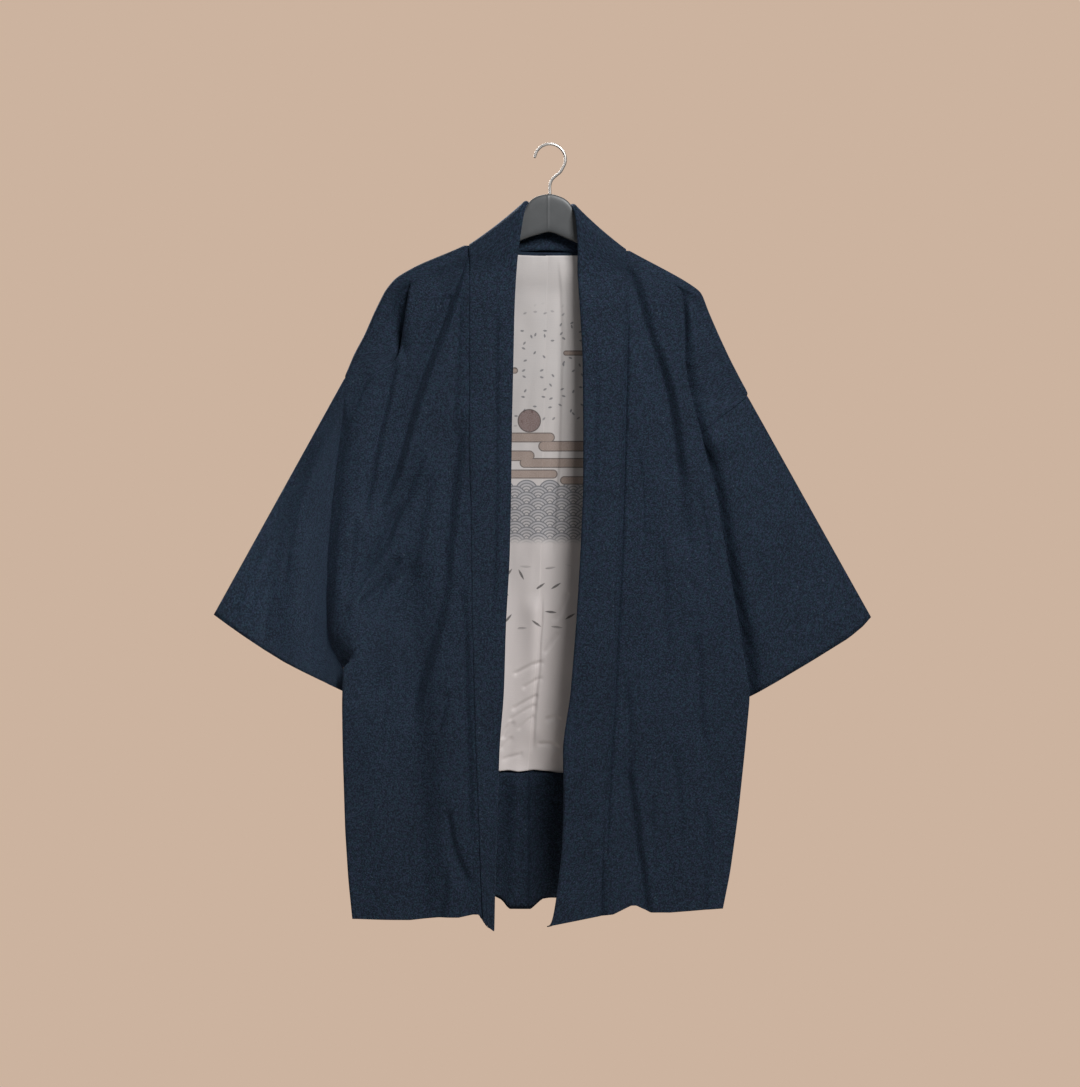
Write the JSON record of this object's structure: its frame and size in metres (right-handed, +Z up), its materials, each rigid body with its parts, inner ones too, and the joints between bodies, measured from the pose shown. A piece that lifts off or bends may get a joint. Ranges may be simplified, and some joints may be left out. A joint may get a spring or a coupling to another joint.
{
  "type": "haori jacket on a hanger",
  "caption": "Open-fronted haori jacket in dark crepe with wide sleeves, a turned-out collar and a pale printed back lining, hanging flat on a moulded hanger",
  "frame": {"origin": "the seat inside the top of the hanger's hook, where a rail or a peg carries it", "axes": "+Z up along the jacket's length, -Y to the front, +X to the wearer's left"},
  "size_m": [0.8242, 0.0998, 0.9846],
  "materials": {
    "crepe": "matt navy crepe with a pebbled face",
    "collar_crepe": "matt navy crepe, doubled and pressed",
    "hem_crepe": "matt navy crepe, turned up inside",
    "lining_silk": null,
    "hanger_plastic": "satin moulded plastic",
    "hook_wire": "bright bent wire"
  },
  "bodies": {
    "root": {"body_right": "crepe", "body_left": "crepe", "sleeve_right": "crepe", "sleeve_left": "crepe", "gusset_right": "crepe", "gusset_left": "crepe", "collar": "collar_crepe", "hem_facing_right": "hem_crepe", "hem_facing_left": "hem_crepe", "lining_right": "lining_silk", "lining_left": "lining_silk", "hanger": "hanger_plastic", "hanger_hook": "hook_wire"}
  },
  "joints": []
}
